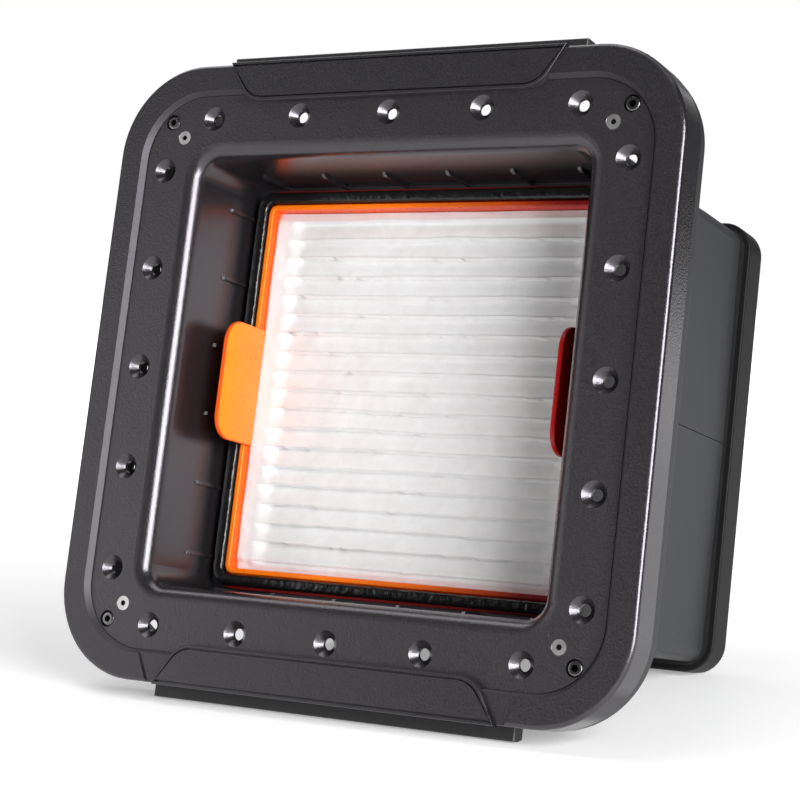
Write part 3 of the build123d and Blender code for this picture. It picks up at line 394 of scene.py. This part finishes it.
def ring(mesh, spots, section):
    """Sweeps a closed section of (outward, depth) points round the spots."""
    loops = []
    for x, y, nx, ny in spots:
        points = [at(x + nx * out, y + ny * out, depth) for out, depth in section(x, y)]
        loops.append([mesh.verts.new(point) for point in points])
    for i, loop in enumerate(loops):
        bridge(mesh, loop, loops[(i + 1) % len(loops)])


def smooth_step(value):
    """A soft rise from 0 to 1 as value goes from 0 to 1."""
    value = min(1.0, max(0.0, value))
    return value * value * (3 - 2 * value)


# ---- the textured bead round the filter ------------------------------------------

BEAD_MIDDLE = 78.8
BEAD_HALF_WIDTH = 2.4
BEAD_HEIGHT = 3.0
BEAD_BACK = 42.0
BEAD_CORNER = 5.0
BEAD_SIDES = 14
BEAD_STEP = 0.6
BEAD_GRAIN = 1.7
BEAD_ROUGHNESS = 0.2
BEAD_SQUARENESS = 0.5     # 1 is round, less is squarer


def bead_section(x, y):
    """Half an oval, roughened by the grain of the moulded skin."""
    points = []
    for k in range(BEAD_SIDES + 1):
        angle = math.pi * k / BEAD_SIDES
        out = BEAD_HALF_WIDTH * math.copysign(abs(math.cos(angle)) ** BEAD_SQUARENESS, math.cos(angle))
        lift = BEAD_HEIGHT * math.sin(angle) ** BEAD_SQUARENESS
        rough = field.noise(Vector((x, y, 3 * k)) / BEAD_GRAIN) * BEAD_ROUGHNESS * math.sin(angle)
        points.append((out * (1 + rough / BEAD_HALF_WIDTH), BEAD_BACK - lift - rough))
    return points


bead = bmesh.new()
ring(bead, rounded_square(BEAD_MIDDLE, BEAD_CORNER, BEAD_STEP), bead_section)
piece("gasket_bead", bead, "bead_rubber", "filter_cartridge", "filter_gasket")

# ---- the orange filter tray --------------------------------------------------------

TRAY_HALF = 76.0
TRAY_WALL = 2.0
TRAY_CORNER = 3.5
TRAY_FRONT = 40.6
TRAY_BACK = 62.0
FLANGE_REACH = 6.2
FLANGE_FRONT = 42.0
FLANGE_BACK = 44.0
TAB_HALF_HEIGHT = 24.0
TAB_FRONT = 18.0
TAB_INNER = 72.6
TAB_THICK = 2.0
TAB_CORNER = 9.0
GRID_STEP = 37.0
GRID_BAR = 3.0
GRID_THICK = 2.0
SOFT_EDGE = 0.45
BAR_EDGE = 0.3
BAR_CLEAR = 0.02        # keeps the faces of crossing bars apart
EDGE_BEND = 0.3         # share of a soft edge at which its middle ring lies
WALL_SLOT = 1           # the tray's second material, with painted glow, and its third, with painted shade
FLANGE_SLOT = 2


def rounded(corners, radius, steps=4):
    """The same outline with each corner rounded by radius, or less where it has no room."""
    smooth = []
    for k, corner in enumerate(corners):
        before, here, after = (Vector(p) for p in (corners[k - 1], corner, corners[(k + 1) % len(corners)]))
        room = min(radius, (before - here).length / 2, (after - here).length / 2)
        start = here + (before - here).normalized() * room
        end = here + (after - here).normalized() * room
        for j in range(steps + 1):
            share = j / steps
            smooth.append(start * (1 - share) ** 2 + here * (2 * share * (1 - share)) + end * share ** 2)
    return [tuple(p) for p in smooth]


def tray_section(x, y):
    """Wall with its flange, as (outward from the wall's outer face, depth)."""
    corners = ((-TRAY_WALL, TRAY_FRONT), (-TRAY_WALL, TRAY_BACK),
               (0, TRAY_BACK), (0, FLANGE_BACK),
               (FLANGE_REACH, FLANGE_BACK), (FLANGE_REACH, FLANGE_FRONT),
               (0, FLANGE_FRONT), (0, TRAY_FRONT))
    return rounded(corners, SOFT_EDGE)


def slab(mesh, outline, low, high, place, edge):
    """Adds a plate and returns the faces round its edge, which is softened by edge.

    place(u, v, w) puts a point of the outline in the frame, and w goes from low to high.
    """
    middle_u = sum(u for u, _ in outline) / len(outline)
    middle_v = sum(v for _, v in outline) / len(outline)
    bend = edge * EDGE_BEND
    levels = ((low, edge), (low + bend, bend), (low + edge, 0),
              (high - edge, 0), (high - bend, bend), (high, edge))
    loops = []
    for w, inset in levels:
        loop = []
        for u, v in outline:
            from_middle = Vector((u - middle_u, v - middle_v))
            inner = Vector((u, v)) - from_middle.normalized() * inset
            loop.append(mesh.verts.new(place(inner.x, inner.y, w)))
        loops.append(loop)
    mesh.faces.new(loops[0])
    mesh.faces.new(loops[-1])
    before = len(mesh.faces)
    for first, second in zip(loops, loops[1:]):
        bridge(mesh, first, second)
    mesh.faces.ensure_lookup_table()
    return mesh.faces[before:]


tray = bmesh.new()
ring(tray, rounded_square(TRAY_HALF, TRAY_CORNER, 2.0), tray_section)
for face in tray.faces:
    spot = (face.calc_center_median() - face_middle) / MM
    if max(abs(spot.dot(across)), abs(spot.dot(upward))) > TRAY_HALF + FLANGE_REACH / 4:
        face.material_index = FLANGE_SLOT
    elif -spot.dot(outward) > TRAY_FRONT + SOFT_EDGE:
        face.material_index = WALL_SLOT
for side in (1, -1):
    tab_outline = []
    for angle in range(180, 271, 9):
        turned = math.radians(angle)
        tab_outline.append((TAB_CORNER - TAB_HALF_HEIGHT + TAB_CORNER * math.cos(turned),
                            TAB_FRONT + TAB_CORNER + TAB_CORNER * math.sin(turned)))
    tab_outline += [(-rise, depth) for rise, depth in reversed(tab_outline)]
    tab_outline += [(TAB_HALF_HEIGHT, FLANGE_BACK), (-TAB_HALF_HEIGHT, FLANGE_BACK)]
    edges = slab(tray, tab_outline, TAB_INNER, TAB_INNER + TAB_THICK,
                 lambda rise, depth, x, side=side: at(side * x, rise, depth), SOFT_EDGE)
    for face in edges:
        face.material_index = WALL_SLOT
inside = TRAY_HALF - TRAY_WALL
for n in (-1, 0, 1):
    low = GRID_STEP * n - GRID_BAR / 2
    high = GRID_STEP * n + GRID_BAR / 2
    level_bar = rounded([(-inside, low), (inside, low), (inside, high), (-inside, high)], BAR_EDGE, 2)
    upright_bar = [(v, u) for u, v in level_bar]
    slab(tray, upright_bar, TRAY_BACK - GRID_THICK + BAR_CLEAR, TRAY_BACK - BAR_CLEAR, at, BAR_EDGE)
    slab(tray, level_bar, TRAY_BACK - GRID_THICK, TRAY_BACK, at, BAR_EDGE)
tray_piece = piece("orange_tray", tray, "tray_orange", "filter_cartridge", "filter_tray")
tray_piece.data.materials.append(tray_wall_painted_glow)
tray_piece.data.materials.append(tray_flange_painted_shade)

# ---- the pleated media -------------------------------------------------------------

MEDIA_HALF = 73.7
MEDIA_FRONT = 44.2
MEDIA_BACK = 58.6
PLEAT_PITCH = 7.79
PLEAT_DEPTH = 3.6
PLEAT_LIP = 0.25        # share of the depth by which the rounded crest of a fold falls back
PLEAT_TURN = 0.88       # share of the pitch where that crest ends
PLEAT_BULGE = 1.6       # 1 is a flat slope from fold to fold, more bulges forward
CREST_DEPTH = 0.8       # the crests lie this far inside the front and back of the cloth
LEAST_DEPTH = 0.1       # and nothing lies less deep than this
END_TUCK = 1.6          # the top and bottom ends are tucked back
END_WIDTH = 4.5
END_MARGIN = 1.5
END_FADE = 4.0
SELVAGE_LIFT = 0.5      # the sides stand up a little
EDGE_WIDTH = 7.0
FOLD_MARGIN = 6.5       # the folds start this far from the sides
FOLD_FADE = 6.0
RAGGEDNESS = 1.2
CORNER_REACH = 9.0      # the corners are crumpled this far in
CRUMPLE = 0.9
MEDIA_COLUMNS = 150
MEDIA_ROWS = 420


def pleat(place):
    """How far behind its crest the cloth lies: each fold laps over the one below it."""
    share = place % 1.0
    if share > PLEAT_TURN:
        return smooth_step((1 - share) / (1 - PLEAT_TURN)) * PLEAT_LIP
    return PLEAT_LIP + (1 - PLEAT_LIP) * (1 - share / PLEAT_TURN) ** PLEAT_BULGE


def media_depth(x, y, front):
    """How far the cloth's front or back sinks in at one place."""
    wander = field.noise(Vector((x / 40.0, y / 9.0, 0.3))) * 0.07
    wander += field.noise(Vector((x / 9.0, y / 6.0, 4.1))) * 0.025
    fold = pleat(wander - y / PLEAT_PITCH + (0.0 if front else 0.5))
    from_side = min(x + MEDIA_HALF, MEDIA_HALF - x)
    from_end = min(y + MEDIA_HALF, MEDIA_HALF - y)
    ragged = field.noise(Vector((y / 3.5, 9.0 if x > 0 else 2.0, 0.0))) * RAGGEDNESS
    fade = smooth_step((from_side - FOLD_MARGIN + ragged) / FOLD_FADE)
    fade *= smooth_step((from_end - END_MARGIN) / END_FADE)
    tuck = END_TUCK * (1 - smooth_step(from_end / END_WIDTH))
    lift = SELVAGE_LIFT * (1 - smooth_step(from_side / EDGE_WIDTH))
    loose = field.noise(Vector((x, y, 20.0)) / 17.0) * 0.5
    loose += field.noise(Vector((x, y, 7.0)) / 4.0) * 0.12
    corner = 1 - smooth_step(math.hypot(from_side, from_end) / CORNER_REACH)
    crumple = field.noise(Vector((x, y, 31.0)) / 2.4) * CRUMPLE * corner
    return CREST_DEPTH + PLEAT_DEPTH * fold * fade + tuck - lift + loose + crumple


media = bmesh.new()
rims = []
for front in (True, False):
    grid = []
    for row in range(MEDIA_ROWS + 1):
        y = MEDIA_HALF * (2 * row / MEDIA_ROWS - 1)
        line = []
        for column in range(MEDIA_COLUMNS + 1):
            x = MEDIA_HALF * (2 * column / MEDIA_COLUMNS - 1)
            sunk = max(LEAST_DEPTH, media_depth(x, y, front))
            line.append(media.verts.new(at(x, y, MEDIA_FRONT + sunk if front else MEDIA_BACK - sunk)))
        grid.append(line)
    for low, high in zip(grid, grid[1:]):
        for k in range(MEDIA_COLUMNS):
            media.faces.new((low[k], low[k + 1], high[k + 1], high[k]))
    right_side = [line[-1] for line in grid[1:]]
    left_side = [line[0] for line in grid[-2:0:-1]]
    rims.append(grid[0] + right_side + grid[-1][-2::-1] + left_side)
bridge(media, *rims)
piece("pleated_media", media, "media_white", "filter_cartridge", "filter_media")

# ---- stage, light and camera ---------------------------------------------------

BACKDROP = (-0.5, 0.86, 0.0)            # level, away from the camera
FLOOR_GLOW = (0.3, 1.3)
FLOOR_GLOW_REACH = (0.05, 1.3)          # metres towards the backdrop
WORLD_GLOW = (0.08, 1.0)
WORLD_GLOW_FACING = (0.78, 0.93)        # how squarely a direction faces the backdrop
FLOOR_GAP = 0.0002                      # metres between the floor and the feet
LIT_SPOT = (0, -0.05, 0.12)             # metres
CAMERA_PLACE = (392.49, -111.49, -645.38)       # like at(), across, up the face and behind it
CAMERA_AHEAD = (-495.69, 135.66, 857.84)        # and so are the directions of its view
CAMERA_OVERHEAD = (-32.43, 984.14, -174.38)     # and of its upper edge
CAMERA_LENS = 92.25

floor_mesh = bmesh.new()
bmesh.ops.create_grid(floor_mesh, x_segments=8, y_segments=8, size=12.0)
floor_data = bpy.data.meshes.new("floor")
floor_mesh.to_mesh(floor_data)
floor_mesh.free()
floor = bpy.data.objects.new("floor", floor_data)
bpy.context.scene.collection.objects.link(floor)
floor_finish, floor_tree, floor_shader = material("floor_paper")
floor_tone = blend_colours(floor_tree, noise(floor_tree, 200.0), (0.86, 0.86, 0.86), (0.9, 0.9, 0.9))
floor_tree.links.new(floor_tone, floor_shader.inputs["Base Color"])
floor_shader.inputs["Roughness"].default_value = 0.7
floor_shader.inputs["Emission Color"].default_value = (1, 1, 1, 1)
floor_place = add(floor_tree, "ShaderNodeTexCoord").outputs["Object"]
sweep = remap(floor_tree, reach(floor_tree, floor_place, BACKDROP), *FLOOR_GLOW, *FLOOR_GLOW_REACH)
floor_tree.links.new(sweep, floor_shader.inputs["Emission Strength"])
floor_data.materials.append(floor_finish)
floor.location.z = cad_box[0][2] - FLOOR_GAP

world = bpy.data.worlds.new("studio")
bpy.context.scene.world = world
world.use_nodes = True
sky = world.node_tree
background = sky.nodes["Background"]
toward = add(sky, "ShaderNodeTexCoord").outputs["Generated"]
glow = remap(sky, reach(sky, toward, BACKDROP), *WORLD_GLOW, *WORLD_GLOW_FACING)
sky.links.new(glow, background.inputs["Strength"])
background.inputs["Color"].default_value = (1, 1, 1, 1)


def softbox(name, place, width, height, power):
    """A white area light that faces the lit spot, its place and size in metres."""
    light = bpy.data.lights.new(name, "AREA")
    light.shape = "RECTANGLE"
    light.size = width
    light.size_y = height
    light.energy = power
    obj = bpy.data.objects.new(name, light)
    bpy.context.scene.collection.objects.link(obj)
    obj.location = place
    obj.rotation_euler = (Vector(LIT_SPOT) - Vector(place)).to_track_quat("-Z", "Y").to_euler()


softbox("right_box", (1.13, -0.71, 0.4), 0.82, 0.95, 36)
softbox("left_box", (-1.05, -0.96, 0.31), 0.4, 0.8, 2.5)
softbox("top_box", (-0.5, 0.1, 1.45), 1.1, 1.3, 10)

camera_data = bpy.data.cameras.new("camera")
camera_data.lens = CAMERA_LENS
camera_data.sensor_width = 36.0
camera_data.sensor_fit = "HORIZONTAL"
camera_data.clip_start = 0.01
camera = bpy.data.objects.new("camera", camera_data)
bpy.context.scene.collection.objects.link(camera)
ahead = heading(*CAMERA_AHEAD)
right = ahead.cross(heading(*CAMERA_OVERHEAD)).normalized()
turn = Matrix((right, right.cross(ahead), -ahead)).transposed()
camera.matrix_world = Matrix.Translation(at(*CAMERA_PLACE)) @ turn.to_4x4()
bpy.context.scene.camera = camera
bpy.context.scene.view_settings.view_transform = "Standard"
